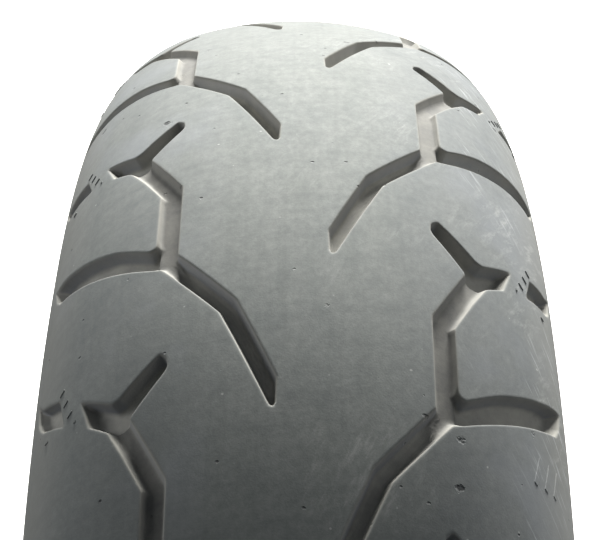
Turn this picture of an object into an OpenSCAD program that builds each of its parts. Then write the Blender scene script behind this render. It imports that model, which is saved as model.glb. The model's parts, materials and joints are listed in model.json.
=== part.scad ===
// Rear motorcycle tyre, 170/80-15 class, built up ply by ply as on a tyre building drum.
// Frame: origin at the wheel centre, axle along +Y, +Z up. "Right" is the +Y side and
// "left" the -Y side. Every ring is drawn as a half section [radius, axial position] and
// turned about the axle.

/* [Outer shape] */
// Radius at the middle of the tread
crown_r = 326; // [322:1:330]
// Radius of the flattish arc across the middle of the tread
crown_arc_r = 141.2; // [135:0.1:150]
// Slope at which the crown arc ends and the shoulder arc starts, degrees
crown_end = 16.3; // [14:0.1:18]
// Radius of the arc over each shoulder
shoulder_arc_r = 58.8; // [57:0.1:60]
// Slope at which the shoulder arc ends, degrees
shoulder_end = 65.7; // [62:0.1:68]
// Radius of the upper sidewall arc, down to the widest point
side_arc_r = 77.4; // [74:0.1:80]
// Radius of the lower sidewall arc, below the widest point
lower_arc_r = 60; // [58:0.5:62]

/* [Bead] */
// Radius of the rim seat that the bead grips (15 inch rim)
seat_r = 190.1; // [189.9:0.1:190.3]
// Distance from the centre plane to the rim flange (4.0 inch rim)
flange_y = 51; // [50:0.5:52]
// Radius of the curve where the tyre lies on the flange lip
flange_lip_r = 8; // [7:0.5:9]
// Wires across and up one bead core
wire_rows = 5; // [4:1:5]
// Distance from wire to wire in the core
wire_pitch = 1.36; // [1.3:0.01:1.36]

/* [Layers] */
// Thickness of the tread rubber at the crown
tread_t = 7; // [6.5:0.1:7.5]
// Thickness of the cushion rubber under the tread
base_t = 1.5; // [1:0.1:1.6]
// Thickness of the wound cap ply
cap_t = 1; // [0.8:0.1:1.2]
// Thickness of each steel belt
belt_t = 1.2; // [1:0.1:1.3]
// Thickness of each carcass ply
ply_t = 1; // [0.8:0.1:1]
// Thickness of the airtight inner liner
liner_t = 1.5; // [1:0.1:2]
// Thickness of the sidewall rubber over the turned-up plies
sidewall_t = 3.6; // [3.4:0.1:3.8]

/* [Tread pattern] */
// Pattern repeats around the tyre
pitches = 18; // [16:1:18]
// Depth of the main grooves
groove_depth = 5.2; // [3:0.1:5.6]
// Depth of the small shoulder grooves
nick_depth = 3.8; // [2:0.1:4.5]
// Where the first pattern unit of the right half sits, degrees up from +X
pattern_phase = 16.6; // [0:0.1:20]

/* [Hidden] */
$fn = 144;

// Step between the section's drawn points, degrees of slope
station = 6;
// Slopes at which the layers end, all multiples of the station, degrees
belt_lower_end = 48;
belt_upper_end = 54;
base_end = 60;
cushion_start = 42;
cushion_end = 66;
tread_end = 84;
ply_end_low = 120;
ply_end_high = 108;
flipper_end = 126;
sidewall_end = 138;
wall_end = 132;
lower_end = 144;

// Fabric and rubber wrapped around the bead core
insulation_t = 0.7;
flipper_t = 0.8;
chafer_t = 1.2;
filler_t = 3.6;
filler_tip_t = 0.3;
wrap_flipper = insulation_t + flipper_t;
wrap_ply_outer = wrap_flipper + ply_t;
wrap_ply_inner = wrap_ply_outer + ply_t;
wrap_chafer = wrap_ply_inner + chafer_t;
// Length of the thin toe of the chafer past the core wraps
toe = 2.6;
toe_bevel = 0.9;

// Bead core box, [radius, axial] extents
core = wire_rows * wire_pitch;
core_bottom = seat_r + wrap_chafer;
// Where the flat flange face ends and the rim strip begins, and how deep the strip's root sits
lip_bottom = core_bottom + 1.6;
strip_root = 0.4;
core_top = core_bottom + core;
core_outer = flange_y - wrap_chafer;
core_inner = core_outer - core;

// Thickness of the tread rubber where it ends over the sidewall
tread_edge_t = 0.8;

// Depths below the outer surface, as [slope, depth] stations
under_tread = [[0, tread_t], [72, tread_t - 0.3], [tread_end, tread_edge_t]];
under_base = flat(tread_t + base_t);
under_cap = flat(tread_t + base_t + cap_t);
under_belt_upper = flat(tread_t + base_t + cap_t + belt_t);
under_belt_lower = flat(tread_t + base_t + cap_t + 2 * belt_t);
crown_stack = tread_t + base_t + cap_t + 2 * belt_t;
cushion_t = 1.2;
chafer_outer = flat(sidewall_t - chafer_t);
turn_outer = flat(sidewall_t);
turn_middle = flat(sidewall_t + ply_t);
turn_inner = flat(sidewall_t + 2 * ply_t);
turn_flipper = flat(sidewall_t + 2 * ply_t + flipper_t);
wall_stack = sidewall_t + 2 * ply_t + 2 * flipper_t + filler_t;
carcass = [
    [0, crown_stack], [cushion_start, crown_stack],
    [belt_upper_end, crown_stack + cushion_t], [base_end, crown_stack + cushion_t - 0.6],
    [cushion_end, crown_stack - 0.7], [72, crown_stack - 2.8], [78, sidewall_t + 3.4],
    [tread_end, sidewall_t + 1.5], [90, sidewall_t + 0.4], [102, sidewall_t],
    [ply_end_high, sidewall_t + ply_t], [114, sidewall_t + 1.5 * ply_t],
    [ply_end_low, sidewall_t + 2 * ply_t + filler_tip_t],
    [flipper_end, sidewall_t + 2 * ply_t + flipper_t + 1.6], [wall_end, wall_stack]
];

// ---- Section geometry ------------------------------------------------------------------

function flat(d) = [[0, d], [180, d]];
function deeper(table, by) = [for (row = table) [row.x, row.y + by]];
function reversed(points) = [for (i = [len(points) - 1 : -1 : 0]) points[i]];
function after_first(points) = [for (i = [1 : len(points) - 1]) points[i]];
function mirrored(points) = [for (p = points) [p.x, -p.y]];
function slope(a) = [cos(a), sin(a)];

// Centres of the four arcs, each one tangent to the arc before it
crown_c = [crown_r - crown_arc_r, 0];
shoulder_c = crown_c + (crown_arc_r - shoulder_arc_r) * slope(crown_end);
side_c = shoulder_c + (shoulder_arc_r - side_arc_r) * slope(shoulder_end);
lower_c = side_c + (side_arc_r - lower_arc_r) * slope(90);

// Section point where the surface slopes by a degrees, at depth d below the surface
function right_skin(a, d) =
    a < crown_end ? crown_c + (crown_arc_r - d) * slope(a) :
    a < shoulder_end ? shoulder_c + (shoulder_arc_r - d) * slope(a) :
    a < 90 ? side_c + (side_arc_r - d) * slope(a) :
    lower_c + (lower_arc_r - d) * slope(a);
function skin(a, d = 0) =
    let (p = right_skin(abs(a), d)) [p.x, sign(a) * p.y];

// Section point at slope a on a table of depths
function at(a, table) = skin(a, lookup(abs(a), table));

// Points from slope a0 to slope a1 that follow a table of depths
function face(a0, a1, table) =
    let (n = max(1, ceil(abs(a1 - a0) / station)))
    [for (i = [0 : n]) at(a0 + (a1 - a0) * i / n, table)];

// Path around the bead core at distance d, from its inner side to its flange side
function around(d) = concat(
    [[core_top, core_inner - d]],
    [for (q = [0 : 15 : 90]) [core_bottom - d * sin(q), core_inner - d * cos(q)]],
    [for (q = [0 : 15 : 90]) [core_bottom - d * cos(q), core_outer + d * sin(q)]],
    [[core_top, core_outer + d]]
);

// Turns a half section about the axle
module ring(points) {
    rotate([-90, 0, 0])
        rotate_extrude()
            polygon(points);
}

// Full-width layer between two depth tables, ending at slope a on each side
module band(a, outer, inner) {
    ring(concat(face(-a, a, outer), face(a, -a, inner)));
}

// Full-width layer between two right-hand paths that both start at the centre plane
module wrap(outer, inner) {
    ring(concat(
        reversed(mirrored(outer)), after_first(outer),
        reversed(inner), after_first(mirrored(inner))
    ));
}

module left() {
    mirror([0, 1, 0])
        children();
}

// ---- Tread pattern -----------------------------------------------------------------------

// Arc lengths from the centre line to the end of the crown arc and of the shoulder arc
crown_len = crown_arc_r * crown_end * PI / 180;
shoulder_len = crown_len + shoulder_arc_r * (shoulder_end - crown_end) * PI / 180;

// Groove outlines as [distance from the centre line, distance around the crown], millimetres.
// The long arm rises from its tip by the centre line, turns into the groove around the inner
// edge of the shoulder block and ends in the hook.
arm_and_hook = [
    [7.4, -50], [19.6, -21.5], [38.2, 0], [38.2, 33.5], [50.2, 54.5],
    [40.2, 68.5], [39.8, 73], [42, 75.4], [54.5, 62], [57, 61.5],
    [69.5, 67], [65.5, 56.2], [58, 51.8], [45.4, 30.3], [45.4, 6.5],
    [46.4, 4.8], [48, 4.3], [52, 0], [46, -4.6], [43.4, -5.2],
    [40.4, -8.5], [25, -25.6], [9.8, -59.6], [8.4, -60.4], [7.6, -58.6]
];
// Groove from the foot of the arm out over the shoulder
shoulder_arm = [
    [43, -1], [48, 4.3], [60, 10.4], [80, 18], [97, 25.2],
    [93.5, 16], [90, 11.4], [81, 7.6], [60, 0.2], [46, -4.6]
];
// Short groove low on the shoulder
shoulder_nick = [
    [77, 61.8], [80.8, 73.6], [95, 80], [101.6, 86.5], [99, 76], [96, 71.8], [92, 68.3],
    [86, 65.8]
];
// Side angle between the two halves of the pattern: half a pitch
half_shift = 180 / pitches;

function slope_at(s) =
    s < crown_len ? s / crown_arc_r * 180 / PI :
    s < shoulder_len ? crown_end + (s - crown_len) / shoulder_arc_r * 180 / PI :
    shoulder_end + (s - shoulder_len) / side_arc_r * 180 / PI;

// Point of the tread surface at distance s from the centre line and t around the crown
function tread_point(s, t) =
    let (p = skin(slope_at(s)), turn = t / crown_r * 180 / PI)
    [p.x * cos(turn), p.y, p.x * sin(turn)];

// Straight-walled cutter through an outline, square to the surface at distance s_mid
module cutter(outline, s_mid) {
    reach_in = 30;
    reach_out = 8;
    a = slope_at(s_mid);
    origin = tread_point(s_mid, 0);
    across = [-sin(a), cos(a), 0];
    flattened = [
        for (q = outline)
            let (p = tread_point(q.x, q.y) - origin)
            [p * across, p.z]
    ];
    translate(origin)
        rotate([90, 0, 90 + a])
            translate([0, 0, -reach_in])
                linear_extrude(reach_in + reach_out)
                    polygon(flattened);
}

module all_around(phase) {
    for (i = [0 : pitches - 1])
        rotate([0, -phase - i * 360 / pitches, 0])
            children();
}

module both_halves() {
    all_around(pattern_phase)
        children();
    left()
        all_around(pattern_phase - half_shift)
            children();
}

// Zone of rubber that the grooves may remove, down to a depth
module groove_zone(depth) {
    over = 2;
    end = tread_end - station;
    band(end, flat(-over), flat(depth));
}

// ---- Sub-parts ---------------------------------------------------------------------------

module tread_cap() {
    color("#4a4d4f")
        difference() {
            band(tread_end, flat(0), under_tread);
            intersection() {
                groove_zone(groove_depth);
                both_halves() {
                    cutter(arm_and_hook, 40);
                    cutter(shoulder_arm, 72);
                }
            }
            intersection() {
                groove_zone(nick_depth);
                both_halves()
                    cutter(shoulder_nick, 90);
            }
        }
}

module tread_base() {
    color("#3a3c3d")
        band(base_end, under_tread, under_base);
}

module cap_ply() {
    color("#8a7a55")
        band(belt_upper_end, under_base, under_cap);
}

module belt_upper() {
    color("#6f6a60")
        band(belt_upper_end, under_cap, under_belt_upper);
}

module belt_lower() {
    color("#5f5a52")
        band(belt_lower_end, under_belt_upper, under_belt_lower);
}

// Rubber wedge between the belt edges and the carcass
module belt_cushion() {
    color("#2f3132")
        ring(concat(
            face(cushion_start, belt_lower_end, under_belt_lower),
            face(belt_lower_end, belt_upper_end, under_belt_upper),
            face(cushion_end, belt_lower_end, carcass)
        ));
}

// Ply next to the belts: runs from bead to bead and turns up low outside the filler
module carcass_ply_outer() {
    color("#a08a5c")
        wrap(
            concat(
                face(0, wall_end, carcass),
                around(wrap_flipper),
                face(wall_end, ply_end_low, turn_inner)
            ),
            concat(
                face(0, wall_end, deeper(carcass, ply_t)),
                around(wrap_ply_outer),
                face(wall_end, ply_end_low, turn_middle)
            )
        );
}

// Ply next to the liner: turns up higher, outside the other ply
module carcass_ply_inner() {
    color("#94804f")
        wrap(
            concat(
                face(0, wall_end, deeper(carcass, ply_t)),
                around(wrap_ply_outer),
                face(wall_end, ply_end_low, turn_middle),
                face(ply_end_low, ply_end_high, carcass)
            ),
            concat(
                face(0, wall_end, deeper(carcass, 2 * ply_t)),
                around(wrap_ply_inner),
                face(wall_end, ply_end_high, turn_outer)
            )
        );
}

module inner_liner() {
    liner_inner_y = core_inner - wrap_ply_inner;
    color("#242627")
        wrap(
            concat(
                face(0, wall_end, deeper(carcass, 2 * ply_t)),
                [[core_top, liner_inner_y]]
            ),
            concat(
                face(0, wall_end, deeper(carcass, 2 * ply_t + liner_t)),
                [[core_top, liner_inner_y - liner_t]]
            )
        );
}

// Rubber from under the tread edge down to the rim strip
module sidewall() {
    color("#45484a")
        ring(concat(
            face(belt_upper_end, base_end, under_base),
            face(base_end, tread_end, under_tread),
            face(tread_end, sidewall_end, flat(0)),
            [at(flipper_end, chafer_outer)],
            face(flipper_end, ply_end_high, turn_outer),
            face(ply_end_high, cushion_end, carcass),
            [at(belt_upper_end, under_belt_upper)]
        ));
}

// Turns of bead wire, wound side by side and row on row
module bead_wires() {
    wire_d = wire_pitch - 0.06;
    wire_sides = 8;
    color("#b08d4f")
        rotate([-90, 0, 0])
            for (row = [0 : wire_rows - 1], column = [0 : wire_rows - 1])
                rotate_extrude()
                    translate([
                        core_bottom + (row + 0.5) * wire_pitch,
                        core_inner + (column + 0.5) * wire_pitch
                    ])
                        circle(d = wire_d, $fn = wire_sides);
}

module bead_insulation() {
    color("#1f2021")
        ring(concat(
            around(insulation_t),
            [
                [core_top, core_outer], [core_bottom, core_outer],
                [core_bottom, core_inner], [core_top, core_inner]
            ]
        ));
}

// Hard rubber wedge that stands on the bead core between the plies
module bead_filler() {
    color("#303334")
        ring(concat(
            [[core_top, core_inner - insulation_t], [core_top, core_outer + insulation_t]],
            face(wall_end, flipper_end, turn_flipper),
            face(flipper_end, ply_end_low, turn_inner),
            face(ply_end_low, flipper_end, carcass),
            face(flipper_end, wall_end, deeper(carcass, -flipper_t))
        ));
}

// Fabric strip folded around the core and the foot of the filler
module flipper() {
    color("#8c7b58")
        ring(concat(
            face(flipper_end, wall_end, turn_inner),
            reversed(around(wrap_flipper)),
            face(wall_end, flipper_end, carcass),
            face(flipper_end, wall_end, deeper(carcass, -flipper_t)),
            around(insulation_t),
            face(wall_end, flipper_end, turn_flipper)
        ));
}

// Tough strip that forms the toe, the seat and the heel of the bead
module chafer() {
    toe_y = core_inner - wrap_ply_inner - toe;
    color("#2b2d2e")
        ring(concat(
            [
                [core_top, core_inner - wrap_chafer],
                [seat_r + toe_bevel, toe_y],
                [seat_r, toe_y + toe_bevel]
            ],
            [
                for (q = [0 : 15 : 90])
                    [core_bottom - wrap_chafer * cos(q), core_outer + wrap_chafer * sin(q)]
            ],
            [[lip_bottom, flange_y], [core_top, flange_y - strip_root]],
            face(wall_end, flipper_end, chafer_outer),
            face(flipper_end, wall_end, turn_outer),
            reversed(around(wrap_ply_inner))
        ));
}

// Rubber that fills from the flange lip up to the end of the sidewall
module rim_strip() {
    color("#393b3d")
        ring(concat(
            [[lip_bottom, flange_y]],
            [
                for (q = [15 : 15 : 75])
                    [lip_bottom + flange_lip_r * sin(q), flange_y + flange_lip_r * (1 - cos(q))]
            ],
            face(lower_end, sidewall_end, flat(0)),
            face(flipper_end, wall_end, chafer_outer),
            [[core_top, flange_y - strip_root]]
        ));
}

tread_cap();
tread_base();
cap_ply();
belt_upper();
belt_lower();
left() belt_cushion();  // belt_cushion_left
belt_cushion();  // belt_cushion_right
carcass_ply_outer();
carcass_ply_inner();
inner_liner();
left() sidewall();  // sidewall_left
sidewall();  // sidewall_right
left() bead_wires();  // bead_wires_left
bead_wires();  // bead_wires_right
left() bead_insulation();  // bead_insulation_left
bead_insulation();  // bead_insulation_right
left() bead_filler();  // bead_filler_left
bead_filler();  // bead_filler_right
left() flipper();  // flipper_left
flipper();  // flipper_right
left() chafer();  // chafer_left
chafer();  // chafer_right
left() rim_strip();  // rim_strip_left
rim_strip();  // rim_strip_right
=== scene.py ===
"""Looks of a worn rear motorcycle tire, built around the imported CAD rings.

Sizes are in millimetres until a mesh is made. A point of the outer surface is given by its
slope (0 at the crown, 90 degrees at the widest point), its depth below the smooth surface and
its angle around the axle, from +X towards +Z. On the tread, s is the distance from the centre
line and t the distance around the crown.
"""

import json
import math

import bmesh
import bpy
import numpy as np
from mathutils import Matrix, Vector
from mathutils.geometry import delaunay_2d_cdt


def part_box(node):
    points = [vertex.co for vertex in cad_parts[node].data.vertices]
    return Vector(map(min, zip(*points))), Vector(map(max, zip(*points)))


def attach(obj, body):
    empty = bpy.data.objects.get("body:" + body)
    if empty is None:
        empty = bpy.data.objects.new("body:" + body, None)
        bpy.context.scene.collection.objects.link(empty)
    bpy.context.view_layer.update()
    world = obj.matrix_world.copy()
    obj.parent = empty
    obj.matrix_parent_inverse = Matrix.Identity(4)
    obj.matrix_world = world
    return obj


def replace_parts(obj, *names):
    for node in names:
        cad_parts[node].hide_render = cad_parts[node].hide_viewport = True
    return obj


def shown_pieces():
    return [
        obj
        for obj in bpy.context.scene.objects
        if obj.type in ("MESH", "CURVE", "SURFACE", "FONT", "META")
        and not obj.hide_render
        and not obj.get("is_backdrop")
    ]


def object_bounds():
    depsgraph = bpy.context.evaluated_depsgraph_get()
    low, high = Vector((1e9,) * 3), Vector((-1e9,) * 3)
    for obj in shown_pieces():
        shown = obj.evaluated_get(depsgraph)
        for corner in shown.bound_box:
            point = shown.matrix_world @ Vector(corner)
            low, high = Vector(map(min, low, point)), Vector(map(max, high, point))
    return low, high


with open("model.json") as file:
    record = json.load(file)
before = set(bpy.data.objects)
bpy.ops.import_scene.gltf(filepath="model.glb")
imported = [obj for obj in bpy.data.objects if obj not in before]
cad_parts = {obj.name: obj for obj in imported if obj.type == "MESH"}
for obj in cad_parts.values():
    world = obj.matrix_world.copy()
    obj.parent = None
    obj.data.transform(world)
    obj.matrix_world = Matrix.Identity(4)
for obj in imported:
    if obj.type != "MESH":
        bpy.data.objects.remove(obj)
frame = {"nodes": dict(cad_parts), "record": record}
cad_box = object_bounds()

MM = 0.001
QUARTER = math.pi / 2

# ---- Section of the tire, the same four tangent arcs as the CAD ----

CROWN_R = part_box("tread_cap")[1].x / MM
CROWN_ARC, CROWN_END = 141.2, math.radians(16.3)
SHOULDER_ARC, SHOULDER_END = 58.8, math.radians(65.7)
SIDE_ARC = 77.4
LOWER_ARC = 60.0
CROWN_LEN = CROWN_ARC * CROWN_END
SHOULDER_LEN = CROWN_LEN + SHOULDER_ARC * (SHOULDER_END - CROWN_END)

TREAD_END = 84.0
SIDEWALL_END = 138.0
LOWER_END = 144.0
mounts = {mount["name"]: mount for mount in frame["record"]["mounts"]}
SEAT_R = mounts["bead_seat_right"]["dims"]["r_mm"]
FLANGE_Y = mounts["flange_face_right"]["pos_m"][1] / MM
FLANGE_LIP_R = 8.0


def direction(a):
    """Outward normal [radial, axial] of the surface at slope a, in radians."""
    return np.stack([np.cos(a), np.sin(a)], -1)


def skin(degrees, depth=0.0):
    """Section points [radius, axial place] at slopes in degrees, for either side."""
    a = np.radians(np.abs(np.asarray(degrees, float)))
    depth = np.broadcast_to(np.asarray(depth, float), a.shape)
    crown = np.array([CROWN_R - CROWN_ARC, 0.0])
    shoulder = crown + (CROWN_ARC - SHOULDER_ARC) * direction(CROWN_END)
    side = shoulder + (SHOULDER_ARC - SIDE_ARC) * direction(SHOULDER_END)
    lower = side + (SIDE_ARC - LOWER_ARC) * direction(QUARTER)
    which = np.searchsorted([CROWN_END, SHOULDER_END, QUARTER], a, side="right")
    centre = np.stack([crown, shoulder, side, lower])[which]
    radius = np.array([CROWN_ARC, SHOULDER_ARC, SIDE_ARC, LOWER_ARC])[which]
    point = centre + (radius - depth)[..., None] * direction(a)
    point[..., 1] *= np.where(np.asarray(degrees) < 0, -1, 1)
    return point


def slope_at(s):
    """Slope in degrees at distance s from the centre line."""
    s = np.asarray(s, float)
    crown = s / CROWN_ARC
    shoulder = CROWN_END + (s - CROWN_LEN) / SHOULDER_ARC
    side = SHOULDER_END + (s - SHOULDER_LEN) / SIDE_ARC
    a = np.where(s < CROWN_LEN, crown, np.where(s < SHOULDER_LEN, shoulder, side))
    return np.degrees(a)


def reach_at(degrees):
    """Distance from the centre line at a slope between the shoulder and the widest point."""
    return SHOULDER_LEN + SIDE_ARC * (math.radians(degrees) - SHOULDER_END)


def spin(section, turn):
    """3-D points of section points turned about the axle by angles in radians."""
    r, y = section[..., 0], section[..., 1]
    return np.stack([r * np.cos(turn), y + 0 * turn, r * np.sin(turn)], -1)


# ---- Mesh helpers ----

COLUMNS = 360  # steps around the axle of every turned ring


def in_scene(name, data):
    """A new object that holds data such as a mesh or a light."""
    obj = bpy.data.objects.new(name, data)
    bpy.context.scene.collection.objects.link(obj)
    return obj


def new_object(name, points, faces, material):
    """Makes a mesh object from points in millimetres and lets it ride on the tire's body."""
    mesh = bpy.data.meshes.new(name)
    mesh.from_pydata((np.asarray(points) * MM).tolist(), [], [list(map(int, f)) for f in faces])
    mesh.validate()
    mesh.materials.append(material)
    obj = in_scene(name, mesh)
    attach(obj, "root")
    return obj


def smooth(obj, sharp_degrees):
    """Smooth shading that keeps edges sharper than an angle."""
    obj.data.shade_smooth()
    obj.data.set_sharp_from_angle(angle=math.radians(sharp_degrees))


def paint(obj, name, values):
    """Stores a value per vertex for the material to read."""
    layer = obj.data.attributes.new(name, "FLOAT", "POINT")
    layer.data.foreach_set("value", np.asarray(values, np.float32))


def grid_faces(columns, rows, closed_columns=True, closed_rows=True):
    """Quads of a grid of points, whose columns and rows may close on themselves."""
    faces = []
    for i in range(columns if closed_columns else columns - 1):
        j = (i + 1) % columns
        for k in range(rows if closed_rows else rows - 1):
            m = (k + 1) % rows
            faces.append((i * rows + k, j * rows + k, j * rows + m, i * rows + m))
    return faces


def lathe(name, section, material):
    """Closed ring with a closed section, turned so that the faces look outward."""
    section = np.asarray(section, float)
    following = np.roll(section, -1, 0)
    area = np.sum(section[:, 0] * following[:, 1] - following[:, 0] * section[:, 1])
    if area < 0:
        section = section[::-1]
    turns = np.arange(COLUMNS) * 2 * math.pi / COLUMNS
    points = spin(section[None, :, :], turns[:, None]).reshape(-1, 3)
    obj = new_object(name, points, grid_faces(COLUMNS, len(section)), material)
    smooth(obj, 35)
    return obj


def mirror_section(section):
    """The same section on the other side of the centre plane."""
    return [[r, -y] for r, y in section][::-1]


# ---- Tread pattern ----

PITCHES = 18
PITCH = 2 * math.pi * CROWN_R / PITCHES
PHASE = math.radians(16.6)
GROOVE_DEPTH = 5.2
NICK_DEPTH = 3.8

# Groove outlines [s, t, wall width factor]: the factor belongs to the edge that leaves the
# point, and a large one gives a long sloping wall there.
GROOVE = [
    (7.4, -50, 1), (19.6, -21.5, 1), (38.2, 0, 0.8), (38.2, 33.5, 1.8), (50.2, 54.8, 1),
    (40.3, 68.4, 1), (39.4, 70.5, 1), (39.8, 73.6, 1), (42, 75.2, 1), (54.4, 62.3, 1),
    (57, 61.4, 1), (69.6, 67.4, 1.8), (65.5, 56.2, 1.2), (58, 51.8, 1.3), (51.5, 41, 1.0),
    (45.4, 30, 0.6), (45.4, 6.6, 1), (46.2, 4.9, 1), (48, 4.3, 1), (60, 10.4, 1),
    (80, 18.2, 1), (97.4, 25.4, 3), (94, 16, 3), (90, 11.2, 1.5), (81, 7.6, 1), (60, 0.2, 1),
    (46, -4.6, 1.4), (43.4, -5.2, 1.7), (40.4, -8.5, 1.3), (25, -25.6, 1.2), (9.8, -59.6, 1.2),
    (8.4, -60.4, 1), (7.6, -58.6, 1),
]
NICK = [
    (77, 61.8, 1), (80.8, 73.6, 1), (95, 80, 1), (101.6, 86.5, 2.5), (99, 76, 2.5),
    (96, 71.8, 1.5), (92, 68.3, 1), (86, 65.8, 1),
]
# Profile of a groove edge: distance to the outline (positive on the land), share of the depth
# and slope of the wall in degrees
EDGE = [
    (0.9, 0.0, 0), (0.35, 0.008, 8), (0.05, 0.035, 34), (-0.12, 0.1, 62), (-0.3, 0.2, 76),
    (-0.95, 0.76, 72), (-1.3, 0.9, 50), (-1.8, 0.975, 20), (-2.4, 1.0, 0),
]

# Between its outer pocket and its junction the groove's floor is raised by a tie bar. It ends in
# ramps at TIE_LEFT (below t = 0), at TIE_RIGHT (below TIE_CORNER) and at the line TIE_TOP.
TIE_LEFT, TIE_RIGHT, TIE_CORNER = 38.2, 45.8, 28
TIE_TOP = ((50.2, 54.4), (58, 51.4))
TIE_RAMP = 2.0
TIE_RISE = 0.5  # share of the groove's depth
TIE_STEP = 0.9  # longest edge on a ramp
TIE_CHANGE = 0.02  # smaller rises count as level

# The boundary between one pattern unit and the next runs over plain land
CENTRE_STEPS = 40
EDGE_STEPS = 20
UNIT_TOP = [(0, 14 * PITCH / CENTRE_STEPS), (20, 60), (33, 88), (50, 92)]
TREAD_REACH = reach_at(TREAD_END)
UNIT_TOP.append((TREAD_REACH, 18 * PITCH / EDGE_STEPS))

GRID = 0.5  # cell of the distance fields
LOOP_TOLERANCE = 0.05  # how far a loop may stray from its contour
EDGE_STEP = 4.2  # longest edge along a groove
LAND_STEP = 5.2  # longest edge on the land
ROW_SHARE = 0.87  # row distance of an even triangle grid, as a share of its edge
BORDER_GAP = 2  # land points keep this far from the unit's top and bottom
GROOVE_GAP = 1.4  # and this far from the outermost loops
FLOOR_GAP = 0.35  # floor points keep this far from the innermost loops
SLIVER = 0.005  # triangles with less than half this area are dropped
WELD_DIGITS = 2  # points that agree to this many digits of a millimetre are one
WELD_SHIFT = 0.0003  # keeps points off a rounding limit
UNDER_ROWS = 29  # points across the cap's underside


def outline_field(outline, s, t):
    """Distance to an outline, negative inside, with each wall's width factor applied inside."""
    points = np.array(outline, float)
    starts, widths = points[:, :2], points[:, 2]
    ends = np.roll(starts, -1, 0)
    near = np.full(s.shape, 1e9)
    near_inside = np.full(s.shape, 1e9)
    inside = np.zeros(s.shape, bool)
    for (s0, t0), (s1, t1), width in zip(starts, ends, widths):
        ds, dt = s1 - s0, t1 - t0
        along = np.clip(((s - s0) * ds + (t - t0) * dt) / (ds * ds + dt * dt), 0, 1)
        gap = np.hypot(s - s0 - along * ds, t - t0 - along * dt)
        near = np.minimum(near, gap)
        near_inside = np.minimum(near_inside, gap / width)
        if t0 != t1:
            crosses = (t0 > t) != (t1 > t)
            inside ^= crosses & (s < s0 + (t - t0) * ds / dt)
    return np.where(inside, -near_inside, near)


def soften(field, passes):
    """Rounds the corners of a distance field a little."""
    for _ in range(passes):
        padded = np.pad(field, 1, mode="edge")
        rows = (padded[:-2, 1:-1] + 2 * field + padded[2:, 1:-1]) / 4
        padded = np.pad(rows, 1, mode="edge")
        field = (padded[1:-1, :-2] + 2 * rows + padded[1:-1, 2:]) / 4
    return field


def contours(field, level):
    """Closed lines of a grid field at a level, as lists of grid places (marching squares)."""
    v = field - level
    high = v > 0
    links = {}

    def crossing(i, j, k, m):
        share = v[i, j] / (v[i, j] - v[k, m])
        return (i + share * (k - i), j + share * (m - j))

    places = {}
    mixed = high[:-1, :-1].astype(int) + high[1:, :-1] + high[:-1, 1:] + high[1:, 1:]
    for i, j in np.argwhere((mixed > 0) & (mixed < 4)):
        corners = [(i, j), (i + 1, j), (i + 1, j + 1), (i, j + 1)]
        cuts = []
        for a in range(4):
            p, q = corners[a], corners[(a + 1) % 4]
            if high[p] != high[q]:
                key = (min(p, q), max(p, q))
                places[key] = crossing(*key[0], *key[1])
                cuts.append(key)
        if len(cuts) == 4 and high[i, j] != (v[i : i + 2, j : j + 2].mean() > 0):
            cuts = cuts[1:] + cuts[:1]
        for a in range(0, len(cuts), 2):
            links.setdefault(cuts[a], []).append(cuts[a + 1])
            links.setdefault(cuts[a + 1], []).append(cuts[a])
    lines, seen = [], set()
    for start in sorted(links):
        if start in seen:
            continue
        line, here, before = [], start, None
        while here not in seen:
            seen.add(here)
            line.append(places[here])
            following = [k for k in links[here] if k != before]
            before, here = here, following[0]
        lines.append(np.array(line))
    return lines


def simplify(line, tolerance):
    """Drops the points of an open line that lie within a tolerance of a straight run."""
    keep = np.zeros(len(line), bool)
    keep[[0, -1]] = True
    runs = [(0, len(line) - 1)]
    while runs:
        i, j = runs.pop()
        if j - i < 2:
            continue
        chord = line[j] - line[i]
        length = max(np.hypot(*chord), 1e-9)
        offset = line[i + 1 : j] - line[i]
        gap = np.abs(offset[:, 0] * chord[1] - offset[:, 1] * chord[0]) / length
        k = int(np.argmax(gap)) + i + 1
        if gap[k - i - 1] > tolerance:
            keep[k] = True
            runs += [(i, k), (k, j)]
    return line[keep]


def resample(line, step):
    """Splits the straight runs of an open line so that none is longer than a step."""
    out = []
    for p, q in zip(line[:-1], line[1:]):
        count = max(1, int(math.ceil(np.hypot(*(q - p)) / step)))
        out += [p + (q - p) * i / count for i in range(count)]
    return np.array(out)


def tie_bar(s, t):
    """Share of the tie bar's height at a place: 1 on the bar, 0 off it, and ramps between."""
    (s0, t0), (s1, t1) = TIE_TOP
    roof = t0 + (s - s0) * (t1 - t0) / (s1 - s0)
    left = np.where(t < 0, np.clip((s - TIE_LEFT) / TIE_RAMP + 0.5, 0, 1), 1)
    right = np.where(t < TIE_CORNER, np.clip((TIE_RIGHT - s) / TIE_RAMP + 0.5, 0, 1), 1)
    return left * right * np.clip((roof - t) / TIE_RAMP + 0.5, 0, 1)


def refine(line, low):
    """Adds points to an open line where it runs onto the tie bar."""
    out = []
    for p, q in zip(line[:-1], line[1:]):
        count = max(1, int(math.ceil(np.hypot(*(q - p)) * GRID / TIE_STEP)))
        steps = p + (q - p) * (np.arange(count + 1) / count)[:, None]
        bar = tie_bar(*(low + steps * GRID).T)
        keep = np.abs(np.diff(bar)) > TIE_CHANGE
        keep = np.append(keep, False) | np.insert(keep, 0, False)
        keep[0], keep[-1] = True, False
        out += list(steps[keep])
    return np.array(out)


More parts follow.
